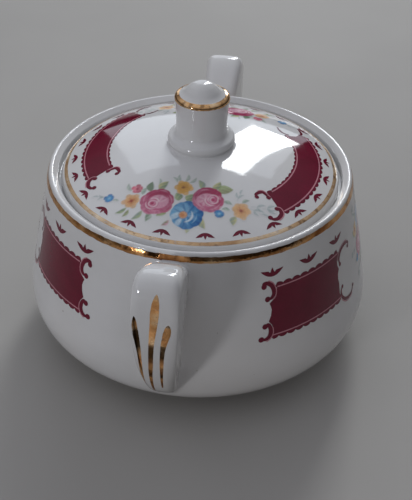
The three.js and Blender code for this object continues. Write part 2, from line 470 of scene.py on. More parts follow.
def print_material(name, grain, mottle, shine):
    """An on-glaze print: its own colour where it covers, the white glaze where it fades."""
    m = new_material(name)
    painted = m.add("ShaderNodeAttribute", attribute_name="Ink")
    fine = m.ramp(m.noise(1500, 3, 0.6), [(0.3, (1 - grain,) * 3), (0.7, (1, 1, 1))])
    patch = m.ramp(m.noise(130, 3), [(0.3, (1 - mottle,) * 3), (0.7, (1, 1, 1))])
    colour = m.mix(1.0, m.mix(1.0, painted.outputs["Color"], fine, "MULTIPLY"), patch, "MULTIPLY")
    glaze_skin(m, m.mix(painted.outputs["Alpha"], glaze_colour(m), colour), shine)
    return m.owner


GLAZE = glaze_material()
BISCUIT = biscuit_material()
GOLD = gilding_material("gilding", ("#8e5a34", "#cb955f", "#eac79a"), 0.63, 1.0)
# The knob's gold: a paler copy of the gilding, lightened as painted highlight for the light that its
# gold catches.
KNOB_GOLD_PAINTED_HIGHLIGHT = gilding_material("gilding_painted_highlight", ("#b98553", "#e2b582", "#f4dcb8"), 0.66, 1.0)
THIN_GOLD = gilding_material("gilding_thin", ("#b58d66", "#d6b48a", "#ecd7ba"), 0.56, 0.5)
MAROON = print_material("maroon_print", 0.14, 0.22, 0.36)
FLOWER = print_material("flower_print", 0.16, 0.08, 0.5)

INK_MAROON = ink("#72042a")
INK_PINK = ink("#d08c98")

# ---- bowl -------------------------------------------------------------------------------

BOWL_SEGMENTS, LID_SEGMENTS, KNOB_SEGMENTS = 208, 192, 120
BARE_FOOT_Z = 0.35              # the foot ring is unglazed below this height
UNDER_ROUND = 1.0
FOOT_FILLET = 0.7
LEDGE_FILLET = 0.4
LEDGE_EDGE = 0.5
LEDGE_Z = RIM_Z - LIP_DEPTH
CREST_R, CREST_Z = RIM_R - CREST_ROUND, RIM_Z - CREST_ROUND
LIP_R = RIM_INNER_R + LIP_ROUND
LIP_Z = (CREST_Z - (CREST_R - LIP_R) * math.tan(LIP_SLOPE)
         + (CREST_ROUND - LIP_ROUND) / math.cos(LIP_SLOPE))
turn_in = 90 + math.degrees(LIP_SLOPE)
crest = arc(CREST_R, CREST_Z, CREST_ROUND, 4, turn_in, 18)
lip_edge = arc(LIP_R, LIP_Z, LIP_ROUND, turn_in, 180, 8)
lip_fall = np.linspace(crest[-1], lip_edge[0], 5)[1:-1]
rim_side = spline([*OUTER_STATIONS[-2:], crest[0], crest[3]], 30)[10:21]
bowl_profile = np.concatenate([
    [(0, BASE_UNDER_Z)],
    level_line(4, FOOT_INNER_R - 2.4, BASE_UNDER_Z, 9),
    arc(FOOT_INNER_R - 1.2, BASE_UNDER_Z - UNDER_ROUND, UNDER_ROUND, 90, 20, 5),
    arc(FOOT_INNER_R + FOOT_EDGE, FOOT_EDGE, FOOT_EDGE, 180, 270, 6),
    arc(FOOT_OUTER_R - FOOT_EDGE, FOOT_EDGE, FOOT_EDGE, 270, 355, 6),
    arc(FOOT_OUTER_R + FOOT_FILLET, 2.2, FOOT_FILLET, 180, 110, 4),
    spline(OUTER_STATIONS, 110)[3:],
    rim_side[1:-1],
    crest,
    lip_fall,
    lip_edge,
    arc(RIM_INNER_R - LEDGE_FILLET, LEDGE_Z + LEDGE_FILLET, LEDGE_FILLET, 0, -90, 4),
    arc(LEDGE_INNER_R + LEDGE_EDGE, LEDGE_Z - LEDGE_EDGE, LEDGE_EDGE, 90, 180, 4),
    spline(INNER_STATIONS, 70),
    level_line(33, 3, FLOOR_Z, 10),
    [(0, FLOOR_Z)],
])
bowl = lathe("bowl_glaze", bowl_profile, BOWL_SEGMENTS, GLAZE)
bowl.data.materials.append(BISCUIT)
for face in bowl.data.polygons:
    face.material_index = int(face.center.z < BARE_FOOT_Z * MM)
settle(bowl, "bowl", "bowl_body")

# ---- handles ----------------------------------------------------------------------------

STRAP_STEPS = 160
FLAT_STEPS = 8                  # facets across each flat side of the strap
EDGE_STEPS = 7                  # facets round each edge of the strap
strap_outside = spline(HANDLE_OUTSIDE, STRAP_STEPS)
strap_inside = spline(HANDLE_HOLE, STRAP_STEPS)
strap_widths = spline([(i, w) for i, w in enumerate(HANDLE_WIDTHS)], STRAP_STEPS)[:, 1]


def section_outline():
    """Steps round the strap's cross-section: edge or flat, which corner, and share of it."""
    steps = []
    for corner in range(4):
        for kind, count in (("edge", EDGE_STEPS), ("flat", FLAT_STEPS)):
            steps += [(kind, corner, i / count) for i in range(count)]
    return steps


SECTION = section_outline()
CROWN = 0.55                    # how much the broad faces of the strap bulge
STRAP_ROWS = 96                 # rings along a handle between its two fillets
FILLET_ROWS = 9                 # rings along each fillet
TOP_FILLET, LOW_FILLET = 1.9, 2.6   # how far the roots spread over the bowl's wall
FILLET_LIFT = 0.01              # how far the foot of a fillet stands off the wall
EDGE_SHARE = 0.95               # the most of the half thickness that an edge may take


def strap_section(index, lean):
    """One ring of points round the strap, as (r, across, z), and their outward normals."""
    outer, inner = strap_outside[index], strap_inside[index]
    middle, along = (outer + inner) / 2, outer - inner
    half_thick = np.hypot(*along) / 2
    along = along / (2 * half_thick)
    half_wide = strap_widths[index] / 2
    shift = lean * (middle[1] - LEAN_Z)
    edge = min(HANDLE_EDGE, half_thick * EDGE_SHARE)
    points, normals = [], []
    for kind, corner, f in SECTION:
        wide_side = 1 if corner in (0, 3) else -1
        thick_side = 1 if corner < 2 else -1
        a = math.pi / 2 * (corner + (f if kind == "edge" else 1.0))
        wide = wide_side * (half_wide - edge) + edge * math.cos(a)
        thick = thick_side * (half_thick - edge) + edge * math.sin(a)
        if kind == "flat":
            if corner % 2 == 0:
                wide *= 1 - 2 * f
            else:
                thick *= 1 - 2 * f
        thick -= thick_side * CROWN * (wide / half_wide) ** 2 * min(1, abs(thick) / half_thick)
        points.append((middle[0] + along[0] * thick, wide + shift, middle[1] + along[1] * thick))
        normals.append((along[0] * math.sin(a), math.cos(a), along[1] * math.sin(a)))
    return points, normals


def wall_gap(point):
    """How far a point is outside the bowl's wall."""
    return np.hypot(point[..., 0], point[..., 1]) - wall_radius(point[..., 2])


def make_handle(name, angle, lean, node):
    """The strap with soft fillets that run out flat on the bowl's wall at both roots."""
    rings = [strap_section(i, lean) for i in range(STRAP_STEPS + 1)]
    points = np.array([r[0] for r in rings])
    normals = np.array([r[1] for r in rings])
    around = points.shape[1]
    grid = np.zeros((STRAP_ROWS + 1 + 2 * FILLET_ROWS, around, 3))
    for i in range(around):
        spoke = points[:, i]
        gap = wall_gap(spoke)
        outside = np.nonzero(gap > 0)[0]
        first, last = outside[0], outside[-1]
        steps = run_along(spoke)
        ends = []
        for inner_i, outer_i, top in ((first - 1, first, True), (last + 1, last, False)):
            f = gap[outer_i] / (gap[outer_i] - gap[inner_i])
            cross = spoke[outer_i] + (spoke[inner_i] - spoke[outer_i]) * f
            at = steps[outer_i] + (steps[inner_i] - steps[outer_i]) * f
            out = normals[outer_i, i]
            reach = TOP_FILLET - max(0.0, out[2]) if top else LOW_FILLET
            face = wall_beside(cross)[1]
            out = out - face * np.dot(out, face)
            out /= np.linalg.norm(out)
            foot = wall_beside(cross + out * reach, FILLET_LIFT)[0]
            ends.append((cross, at, reach, foot))
        (cross_a, at_a, reach_a, foot_a), (cross_b, at_b, reach_b, foot_b) = ends
        stations = np.linspace(at_a + reach_a, at_b - reach_b, STRAP_ROWS + 1)
        middle = np.stack([np.interp(stations, steps, spoke[:, k]) for k in range(3)], 1)
        grid[FILLET_ROWS:-FILLET_ROWS, i] = middle
        for k in range(FILLET_ROWS):
            t = 1 - k / FILLET_ROWS
            for row, end, cross, foot in ((k, middle[0], cross_a, foot_a),
                                          (-1 - k, middle[-1], cross_b, foot_b)):
                grid[row, i] = (1 - t) ** 2 * end + 2 * t * (1 - t) * cross + t * t * foot
    flat = grid.reshape(-1, 3) @ spin_about_z(angle)
    faces = []
    for r in range(grid.shape[0] - 1):
        for i in range(around):
            j = (i + 1) % around
            a, b = r * around, (r + 1) * around
            faces.append((a + i, a + j, b + j, b + i))
    made = make_mesh(name, flat, faces, GLAZE)
    smooth = np.array([v.vector for v in made.data.vertex_normals])
    for r in (0, grid.shape[0] - 1):
        for i in range(r * around, (r + 1) * around):
            smooth[i] = wall_beside(flat[i])[1]
    made.data.normals_split_custom_set_from_vertices(smooth.tolist())
    settle(made, "bowl", node)


HANDLES = ((-90 - FRONT_TURN, FRONT_LEAN, "handle_front"), (90 + REAR_TURN, 0.0, "handle_rear"))
for angle, lean, node in HANDLES:
    make_handle(node + "_glaze", angle, lean, node)

# ---- lid and knob -----------------------------------------------------------------------

FLANGE_END_ROUND = 1.3
FLANGE_FILLET = 0.4
LID_EDGE_ROUND = 0.5
shoulder_z = float(dome_z(LID_SHOULDER_R))
lid_shoulder = spline([(LID_SHOULDER_R, shoulder_z), (46.7, shoulder_z - 0.75),
                       (LID_EDGE_R, LID_EDGE_TOP_Z)], 12)
flange_end = LID_SEAT_Z - FLANGE_DROP
flange_middle = (FLANGE_INNER_R + FLANGE_OUTER_R) / 2
lid_profile = np.concatenate([
    dome_line(0, FLANGE_INNER_R - 2.6, 50, LID_THICK),
    spline([(FLANGE_INNER_R - 1.6, float(dome_z(FLANGE_INNER_R - 1.6, LID_THICK)) - 0.2),
            (FLANGE_INNER_R - 0.4, LID_SEAT_Z + 0.3), (FLANGE_INNER_R, LID_SEAT_Z - 1.2)], 8),
    arc(flange_middle, flange_end + FLANGE_END_ROUND, FLANGE_END_ROUND, 180, 360, 14),
    arc(FLANGE_OUTER_R + FLANGE_FILLET, LID_SEAT_Z - FLANGE_FILLET, FLANGE_FILLET, 180, 90, 4),
    arc(LID_EDGE_R - LID_EDGE_ROUND, LID_SEAT_Z + LID_EDGE_ROUND, LID_EDGE_ROUND, 270, 360, 5),
    lid_shoulder[::-1],
    dome_line(LID_SHOULDER_R, 0, 70)[1:],
])
settle(lathe("lid_glaze", lid_profile, LID_SEGMENTS, GLAZE), "lid", "lid")

knob_stem = spline([
    (KNOB_COLLAR_R + 0.5, float(dome_z(KNOB_COLLAR_R + 0.5)) + 0.01),
    (KNOB_COLLAR_R - 0.3, float(dome_z(KNOB_COLLAR_R)) + 0.25),
    *((r, RIM_Z + rise) for r, rise in (
        (KNOB_COLLAR_R - 0.5, 9.1), (KNOB_COLLAR_R - 0.05, 10.1), (KNOB_COLLAR_R - 0.05, 11.0),
        (KNOB_COLLAR_R - 0.5, 11.8), (KNOB_COLLAR_R - 1.4, 12.3), (KNOB_NECK_R + 0.6, 12.9),
        (KNOB_NECK_R + 0.1, 13.9), (KNOB_NECK_R, 16.5), (KNOB_NECK_R + 0.2, 21.5),
        (KNOB_TOP_R, 25.2)))], 100)
knob_shoulder = arc(KNOB_TOP_R - KNOB_SHOULDER_R, KNOB_SHOULDER_Z, KNOB_SHOULDER_R, 8, 65, 9)
knob_cap = spline([
    (KNOB_TOP_R - 0.9, KNOB_SHOULDER_Z + KNOB_SHOULDER_R), (7.2, RIM_Z + 27.0),
    (6.2, RIM_Z + 27.7), (5.1, RIM_Z + 28.8), (3.6, RIM_Z + 30.0), (1.8, RIM_Z + 30.8),
    (0.0, KNOB_APEX_Z)], 42)
knob_profile = np.concatenate([knob_stem, knob_shoulder, knob_cap])
settle(lathe("knob_glaze", knob_profile, KNOB_SEGMENTS, GLAZE), "lid", "knob")

# ---- gilding ----------------------------------------------------------------------------

FULL_GOLD = np.ones(3)
WAVES = (3, 7, 13, 29, 61, 113)     # waves to a full turn that make up a ragged edge


def wobble(seed, count, size):
    """A smooth ragged edge round a full turn: offsets of about the given size."""
    rng = random.Random(seed)
    a = np.linspace(0, 2 * math.pi, count, endpoint=False)
    total = sum(np.sin(w * a + rng.uniform(0, 6.28)) * rng.uniform(0.5, 1) for w in WAVES)
    return total * size / math.sqrt(len(WAVES))


def gilded_band(name, profile, body, seed, rag, metal, count=420, across=7):
    """A gold line along part of a profile, from its first point to its last, ragged-edged."""
    profile = np.asarray(profile, float)
    run = run_along(profile)
    places = (*profile.T, *directions(profile).T)
    low = np.clip(wobble(seed, count, rag) + rag * 1.2, 0, None)
    high = run[-1] - np.clip(wobble(seed + 1, count, rag * 0.6) + rag * 0.8, 0, None)
    t = np.linspace(0, 1, across)[None]
    at = low[:, None] * (1 - t) + high[:, None] * t

    def turned(angle, distance, lift):
        r, z, tr, tz = (np.interp(distance, run, values) for values in places)
        size = np.hypot(tr, tz)
        nr, nz = tz / size, -tr / size
        if np.mean(nr + nz) < 0:
            nr, nz = -nr, -nz
        c, s = np.cos(angle), np.sin(angle)
        normal = np.stack([nr * c, nr * s, nz], -1)
        return np.stack([r * c, r * s, z], -1) + normal * lift, normal

    film = Film()
    angle = np.linspace(0, 2 * math.pi, count, endpoint=False)[:, None] + 0 * t
    film.grid(turned, angle, at, FILM, FULL_GOLD, closed=True)
    film.piece(name, metal, body, "gilding")


RIM_GOLD_FOOT = (52.24, 62.95)
gilded_band("rim_gilding", np.concatenate([[RIM_GOLD_FOOT], rim_side]), "bowl", 11, 0.17, GOLD)
LID_GOLD_IN, LID_GOLD_OUT = 45.0, 46.25
ring_r = np.linspace(LID_GOLD_IN, LID_GOLD_OUT, 8)
shoulder_line = lid_shoulder[lid_shoulder[:, 0] > LID_SHOULDER_R]
ring_z = np.where(ring_r <= LID_SHOULDER_R, dome_z(ring_r),
                  np.interp(ring_r, shoulder_line[:, 0], shoulder_line[:, 1]))
gilded_band("lid_gilding", np.stack([ring_r, ring_z], 1), "lid", 21, 0.06, THIN_GOLD)
knob_gold = np.concatenate([[(KNOB_TOP_R + 0.005, RIM_Z + 25.25)], knob_shoulder, knob_cap[1:6]])
# The knob's gold uses the paler copy of the gilding, lightened as painted highlight.
gilded_band("knob_gilding", knob_gold, "lid", 31, 0.07, KNOB_GOLD_PAINTED_HIGHLIGHT, count=240, across=16)

# ---- panels, scrolls and fleurs -----------------------------------------------------------

SCROLL_LIFT = FILM * 1.6        # each layer of a print lies a little above the last
LINE_LIFT = FILM * 2
CURL_LIFT = FILM * 2.2


def scroll(film, at, points, side, width, ball):
    """A curling stroke with a round ball at each end."""
    path = spline(points, 36) * np.array([side, 1])
    t = np.linspace(0, 1, len(path))
    film.ribbon(at, path, width * (0.55 + 0.55 * np.sin(math.pi * t)), SCROLL_LIFT, INK_MAROON)
    for end in (path[0], path[-1]):
        film.disc(at, *end, ball, SCROLL_LIFT * 1.05, INK_MAROON)


def beside(points, side, offset):
    """A line that keeps a set distance from a scroll, on its bulging side."""
    path = spline(points, 30)
    along = directions(path)
    normal = np.stack([along[:, 1], -along[:, 0]], 1)
    middle = path.mean(axis=0)
    if np.sum(normal * (path - middle)) < 0:
        normal = -normal
    return (path + normal * offset) * np.array([side, 1])


FLEUR_HALF = 4.0
FLEUR_RISE = 2.3
FLEUR_BODY = 1.75               # height of the mark's body where the bud stands


def fleur(film, at, size=1.0):
    """A small winged mark: two swept wings with a bud between them, full at the base."""
    x = np.linspace(-FLEUR_HALF, FLEUR_HALF, 57)[:, None]
    share = np.abs(x) / FLEUR_HALF
    low = FLEUR_RISE * share**2.1
    bud = 1.3 * np.clip(1 - np.abs(x) / 0.6, 0, 1)
    high = np.maximum(low, FLEUR_BODY + (FLEUR_RISE - FLEUR_BODY) * share**0.8 + bud
                      - 0.45 * np.exp(-((np.abs(x) - 0.85) / 0.3) ** 2))
    t = np.linspace(0, 1, 5)[None]
    film.grid(at, size * (x + 0 * t), size * (low + (high - low) * t), FILM, INK_MAROON)


def fringe(film, at, level, way, pitch, start, end, base, deep, fade, steps):
    """A scalloped edge along a level, with low round lobes and sharp notches between them."""
    x = np.linspace(start, end, steps)[:, None]
    taper = smoothstep(x, start, start + fade[0]) * smoothstep(-x, -end, fade[1] - end)
    lobes = deep * np.abs(np.sin(math.pi * (x - end) / pitch)) ** 0.55
    f = np.linspace(0, 1, 5)[None]
    film.grid(at, x + 0 * f, level + way * ((base + lobes) * taper * f - 0.15), FILM, INK_MAROON)


def field(film, at, v, near, far, steps):
    """The filled body of a panel between its near and far edges."""
    left, right = np.interp(v, *zip(*far)), np.interp(v, *zip(*near))
    t = np.linspace(0, 1, steps)[:, None]
    film.grid(at, -left + (left + right) * t, v + 0 * t, FILM, INK_MAROON)


# A panel in local plan, millimetres: v up, u from its middle towards the handle (near end)
# or towards the flowers (far end). Each edge runs from its bottom corner to its top.
FIELD_TOP, FIELD_BOTTOM = 8.2, -8.2
FIELD_NEAR = [(-8.2, 15.6), (-6.3, 15.25), (-4.6, 15.7), (-3.1, 16.8), (-1.2, 15.95), (0.8, 15.6),
              (2.1, 15.9), (3.1, 16.3), (4.6, 14.3), (6.4, 13.6), (8.2, 13.4)]
FIELD_FAR = [(-8.2, 15.2), (-6.4, 14.3), (-4.4, 14.4), (-2.6, 14.5), (-0.8, 14.1), (1.0, 14.3),
             (2.4, 15.2), (3.8, 14.5), (5.6, 14.4), (7.0, 15.0), (8.2, 15.8)]
NEAR_TOP = [(18.0, 9.2), (18.1, 10.1), (16.9, 10.2), (15.4, 9.2), (14.6, 7.3), (14.8, 5.7),
            (15.7, 4.8), (16.9, 4.7)]
NEAR_LOW = [(18.1, -4.6), (17.1, -4.1), (16.35, -5.4), (16.25, -7.2), (17.0, -8.6), (18.2, -9.2),
            (19.5, -8.95)]
FAR_TOP = [(23.0, 6.7), (23.8, 7.6), (22.2, 8.5), (19.7, 8.7), (17.5, 8.0), (16.2, 6.7),
           (15.7, 5.2), (16.1, 3.6)]
FAR_LOW = [(16.3, -5.0), (15.2, -6.4), (15.8, -8.8), (18.0, -10.8), (20.7, -11.3), (22.8, -10.8),
           (24.1, -9.3)]
FLEUR_BASE = 12.1               # above the panel's middle
FLEUR_TURN = math.degrees(15.0 / 56.7)   # 15 mm apart on a radius of 56.7 mm


def wall_panel(fields, lines, angle, height, near):
    """One maroon panel of the bowl with its fringes, scrolls, line work and three fleurs."""
    place = wall_patch(angle, height)

    def at(u, v, lift):
        return place(near * np.asarray(u), v, lift)

    v = np.linspace(FIELD_BOTTOM - 0.2, FIELD_TOP + 0.2, 61)[None]
    field(fields, at, v, FIELD_NEAR, FIELD_FAR, 90)
    for way, level, pitch, start, end in ((1, FIELD_TOP, 3.4, -15.6, 14.4),
                                          (-1, FIELD_BOTTOM, 3.1, -15.4, 16.6)):
        fringe(fields, at, level, way, pitch, start, end, 0.85, 0.85, (1.0, 1.2), 260)
        lines.ribbon(at, level_line(start + 0.2, end - 1.1, level, 60), 0.42, LINE_LIFT, INK_PINK)
    for curl, side in ((NEAR_TOP, 1), (NEAR_LOW, 1), (FAR_TOP, -1), (FAR_LOW, -1)):
        wide, ball = (1.35, 0.95) if side > 0 else (1.05, 0.7)
        scroll(fields, at, curl, side, wide, ball)
        lines.ribbon(at, beside(curl[2:-1], side, 0.9), 0.34, CURL_LIFT, INK_PINK)
    for k in (-1, 0, 1):
        fleur(fields, wall_patch(angle + FLEUR_TURN * k, height + FLEUR_BASE))


# Angle round the bowl, height of the middle, and which way along u the handle lies.
WALL_PANELS = ((-41, 43.8, -1), (-139, 44.6, 1), (41, 43.8, 1), (139, 44.6, -1))
maroon, pink = Film(), Film()
for panel in WALL_PANELS:
    wall_panel(maroon, pink, *panel)
maroon.piece("bowl_maroon", MAROON, "bowl", "maroon_print")
pink.piece("bowl_lines", MAROON, "bowl", "maroon_print")

# The lid's panels, in degrees from their middle and millimetres from the axis.
LID_FRONT = -88                 # where the front spray's middle is, round the lid from +X
LID_IN, LID_OUT = 32.5, 40.2
LID_MIDDLE = 36.4               # radius where a curl's angles become lengths
LID_NEAR = [(32.5, 36.8), (34.3, 36.5), (35.5, 36.9), (37.0, 37.3), (38.0, 37.7), (39.2, 37.0),
            (40.2, 36.6)]
LID_FAR = [(32.5, 37.0), (33.2, 36.0), (34.0, 35.4), (36.2, 35.7), (38.0, 37.5), (39.2, 37.6),
           (40.2, 37.0)]
LID_NEAR_IN = [(43.6, 31.9), (43.2, 31.0), (40.6, 30.75), (38.3, 31.1), (37.7, 32.3), (37.8, 33.8)]
LID_NEAR_OUT = [(38.7, 38.5), (37.8, 39.0), (37.9, 39.9), (38.6, 40.7), (39.9, 41.2),
                (41.8, 41.6), (43.9, 41.2), (44.6, 40.4)]
LID_FAR_IN = [(46.5, 32.6), (43.6, 32.0), (40.6, 31.9), (38.4, 32.4), (37.2, 33.4)]
LID_FAR_OUT = [(45.5, 41.6), (43.0, 41.0), (40.5, 40.4), (38.6, 39.4), (37.8, 38.4)]


def lid_panel(fields, lines, centre, near, drift):
    """One maroon panel of the lid; drift is how far it was laid off the true circle."""
    def at(a, r, lift):
        shift = drift[0] + drift[1] * np.clip(-np.asarray(a) - 5, 0, None)
        return lid_ring(centre + near * np.asarray(a), np.asarray(r) + shift, lift)

    def flat_at(u, v, lift):
        return at(np.degrees(u / LID_MIDDLE), v, lift)

    def flat(points):
        return np.array(points) * (math.radians(1) * LID_MIDDLE, 1)

    field(fields, at, np.linspace(LID_IN - 0.2, LID_OUT + 0.2, 41)[None], LID_NEAR, LID_FAR, 120)
    band = np.linspace(-0.2, 0.2, 3)[None]
    for way, level, pitch, start, end, deep, reach in (
            (1, LID_OUT, 3.95, -37.0, 37.6, 0.75, 36.2), (-1, LID_IN, 4.7, -37.2, 37.0, 0.5, 33.0)):
        fringe(fields, at, level, way, pitch, start, end, 0.62, deep, (1.6, 1.6), 320)
        x = np.linspace(-36.0, reach, 110)[:, None]
        lines.grid(at, x + 0 * band, level + band + 0 * x, LINE_LIFT, INK_PINK)
    for curl, side, wide, ball in ((LID_NEAR_IN, 1, 1.1, 0.8), (LID_NEAR_OUT, 1, 1.2, 0.75),
                                   (LID_FAR_IN, -1, 0.75, 0.42), (LID_FAR_OUT, -1, 0.8, 0.45)):
        path = flat(spline(curl, 36) * (side, 1))
        scroll(fields, flat_at, path[::3], 1, wide, ball)
    for curl in (LID_NEAR_OUT[:6], LID_NEAR_IN[2:]):
        lines.ribbon(flat_at, beside(flat(curl), 1, 0.75), 0.34, CURL_LIFT, INK_PINK)


maroon, pink = Film(), Film()
lid_panel(maroon, pink, -3.5, -1, (0.0, 0.0))
lid_panel(maroon, pink, 173.5, 1, (-0.85, 0.045))
MARK_FIRST, MARK_STEP, MARK_R = 9, 15, 41.95
for k in range(12):
    for side in (-1, 1):
        mark = lid_patch(LID_FRONT + side * (MARK_FIRST + MARK_STEP * k), MARK_R)
        fleur(maroon, lambda u, v, lift, mark=mark: mark(u, -v, lift), size=0.75)
maroon.piece("lid_maroon", MAROON, "lid", "maroon_print")
pink.piece("lid_lines", MAROON, "lid", "maroon_print")

# ---- flowers ----------------------------------------------------------------------------

CELL = 0.2                      # spacing of the points of a painted sheet
SOFT = 0.5                      # width of a brush stroke's soft edge

DEEP_ROSE, MID_ROSE = ink("#a31a4c"), ink("#c65680")
PALE_ROSE, WHITE_ROSE = ink("#e2a6ba"), ink("#f0d3da")
DEEP_BLUE, SKY = ink("#0a559b"), ink("#3f9ace")
PALE_SKY, WHITE_SKY = ink("#9fcbe4"), ink("#dfeaf0")
ORANGE, PEACH = ink("#cf7f49"), ink("#e6b184")
YELLOW, LEMON = ink("#dfaa4a"), ink("#ecd08f")
GREEN, LIGHT_GREEN = ink("#5f7d56"), ink("#a3b478")
OLIVE, YELLOW_GREEN = ink("#7d7f45"), ink("#c3bf7c")
GREY_GREEN, PALE_GREEN = ink("#84998c"), ink("#b7c5b4")
BLUE_GREEN, PALE_AQUA = ink("#8a9f9f"), ink("#b7c5c3")


class Painting:
    """Soft brushwork on a fine grid of a local plan, laid on the glaze as one thin sheet."""

    def __init__(self, low, high, seed):
        u = np.arange(low[0], high[0], CELL)
        v = np.arange(low[1], high[1], CELL)
        self.u, self.v = np.meshgrid(u, v, indexing="ij")
        self.colour = np.ones(self.u.shape + (3,)) * 0.6
        self.cover = np.zeros(self.u.shape)
        self.low = low
        self.rng = random.Random(seed)

    def near(self, x, y, reach, turn):
        """The part of the sheet round a point, with its distances along and across a turn."""
        i = int((x - self.low[0] - reach) / CELL), int((x - self.low[0] + reach) / CELL) + 1
        j = int((y - self.low[1] - reach) / CELL), int((y - self.low[1] + reach) / CELL) + 1
        part = (slice(max(i[0], 0), max(i[1], 0)), slice(max(j[0], 0), max(j[1], 0)))
        du, dv = self.u[part] - x, self.v[part] - y
        c, n = math.cos(turn), math.sin(turn)
        return part, du * c + dv * n, dv * c - du * n

    def lay(self, part, mask, colour):
        """Lays paint over what is there already."""
        under = self.cover[part]
        total = mask + under * (1 - mask)
        share = np.where(total > 1e-4, mask / np.maximum(total, 1e-4), 0)[..., None]
        self.colour[part] = self.colour[part] * (1 - share) + colour * share
        self.cover[part] = total

    def dab(self, x, y, radius, colour, cover=1.0, squash=1.0, turn=0.0):
        part, a, b = self.near(x, y, radius * max(1, squash) + 1, turn)
        d = np.hypot(a / squash, b)
        self.lay(part, np.clip((radius - d) / SOFT + 0.5, 0, 1) * cover, colour)

    def petal(self, x, y, turn, length, width, root, tip, cover=1.0, blunt=1.35):
        part, s, t = self.near(x, y, length + 0.8, turn)
        s = s / length
        inside = np.clip(s, 0, 1)
        half = width / 2 * np.sin(math.pi * inside**blunt) ** 0.6
        mask = np.clip((half - np.abs(t)) / SOFT + 0.5, 0, 1) * (s > 0) * (s < 1)
        mask = mask * np.clip((1 - s) * length / SOFT, 0, 1)
        brush = 0.18 * np.sin(t / width * 19 + self.rng.uniform(0, 6))
        shade = np.clip(inside**1.1 + brush * inside + self.rng.uniform(-0.08, 0.08), 0, 1)
        self.lay(part, mask * cover, root + (tip - root) * shade[..., None])

    def bow(self, x, y, radius, start, sweep, width, colour, cover):
        """A brush stroke along part of a circle, thickest in its middle."""
        part, a, b = self.near(x, y, radius + width + 1, 0)
        turn = (np.degrees(np.arctan2(b, a)) - start) % 360
        along = np.clip(turn / sweep, 0, 1)
        half = width / 2 * np.sin(math.pi * along) ** 0.7
        edge = np.clip((half - np.abs(np.hypot(a, b) - radius)) / (SOFT * 0.7) + 0.4, 0, 1)
        self.lay(part, edge * (turn < sweep) * (half > 0.02) * cover, colour)

    def leaf(self, x, y, degrees, length, width, dark, light, cover=0.92):
        part, s, t = self.near(x, y, length + 0.8, math.radians(degrees))
        s = s / length
        inside = np.clip(s, 0, 1)
        t = t - 0.12 * length * np.sin(math.pi * inside) * self.rng.choice((-1, 1))
        half = width / 2 * np.sin(math.pi * inside**0.85) ** 0.85
        mask = np.clip((half - np.abs(t)) / SOFT + 0.35, 0, 1) * (s > 0) * (s < 1)
        tone = np.clip(0.5 + t / width * 1.3 + 0.22 * np.sin(s * 15 + t * 4), 0, 1)
        self.lay(part, mask * cover, dark + (light - dark) * tone[..., None])
        rib = np.clip(0.75 - np.abs(t) / 0.2, 0, 1) * (s > 0.02) * (s < 0.9)
        self.lay(part, rib * cover * 0.25, dark * 0.8)

    def sprig(self, x, y, degrees, length, pairs, size, dark, light, cover=0.75):
        """A thin stem with slender leaves on both sides."""
        turn = math.radians(degrees)

        def along(f):
            return x + f * length * math.cos(turn), y + f * length * math.sin(turn)

        for k in range(9):
            self.dab(*along(k / 9), 0.14, dark, cover * 0.45)
        for k in range(pairs):
            place = along(0.3 + 0.7 * k / max(1, pairs - 1))
            for side in (-1, 1):
                fan = side * self.rng.uniform(16, 34)
                self.leaf(*place, degrees + fan, size * self.rng.uniform(0.85, 1.1), size * 0.36,
                          dark, light, cover)
        self.leaf(*along(1), degrees, size, size * 0.34, dark, light, cover)

    def rose(self, x, y, r, heart, tilt):
        """A full rose: broad outer petals, crimson above, curled rims round an off-centre heart."""
        hx, hy = x + heart[0] * r, y + heart[1] * r
        for k in range(7):
            a = tilt + 2 * math.pi * k / 7 + self.rng.uniform(-0.12, 0.12)
            dusk = (0.5 + 0.5 * math.sin(a + 0.3)) ** 0.8
            tip = (PALE_ROSE * 0.6 + MID_ROSE * 0.4) * (1 - dusk) + DEEP_ROSE * dusk
            reach = r * self.rng.uniform(0.82, 1.0)
            self.petal(x + 0.1 * r * math.cos(a), y + 0.1 * r * math.sin(a), a, reach,
                       r * self.rng.uniform(0.8, 1.0), MID_ROSE * 0.85, tip, blunt=1.6)
        for k in range(11):
            a = math.degrees(tilt) + 33 * k + self.rng.uniform(-12, 12)
            ring = r * self.rng.uniform(0.62, 0.86)
            off = self.rng.uniform(-0.1, 0.1) * r
            colour = (DEEP_ROSE, PALE_ROSE, MID_ROSE)[k % 3]
            self.bow(x + off, y - off, ring, a, self.rng.uniform(28, 60), r * 0.11, colour, 0.5)
        bx, by = x - heart[0] * r * 0.35, y - heart[1] * r * 0.35 - 0.08 * r
        self.dab(bx, by, r * 0.52, PALE_ROSE, 0.85, squash=1.12, turn=tilt)
        self.bow(x, y - 0.04 * r, r * 0.62, 25, 135, r * 0.27, DEEP_ROSE, 0.72)
        self.bow(x + 0.05 * r, y, r * 0.58, 205, 95, r * 0.17, MID_ROSE, 0.7)
        for k in range(5):
            a = tilt + 0.9 * k
            self.petal(bx, by, a, r * 0.52, r * 0.16, WHITE_ROSE, PALE_ROSE, 0.6)
            self.petal(bx, by, a + 0.3, r * 0.5, r * 0.08, MID_ROSE, MID_ROSE, 0.45)
        for size, start, sweep in ((0.42, 165, 130), (0.36, 10, 110), (0.27, 250, 150),
                                   (0.18, 90, 190)):
            fx, fy = x + (hx - x) * (1.25 - size), y + (hy - y) * (1.25 - size)
            self.bow(fx, fy, r * size, start, sweep, r * 0.13, WHITE_ROSE, 0.7)
            self.bow(fx, fy, r * (size - 0.08), start + 12, sweep - 24, r * 0.10, MID_ROSE, 0.8)
            self.bow(fx, fy, r * (size + 0.08), start + 20, sweep - 50, r * 0.05, DEEP_ROSE, 0.5)
        self.dab(hx, hy, r * 0.15, MID_ROSE, 0.75)
        self.dab(hx, hy, r * 0.08, DEEP_ROSE, 0.9)

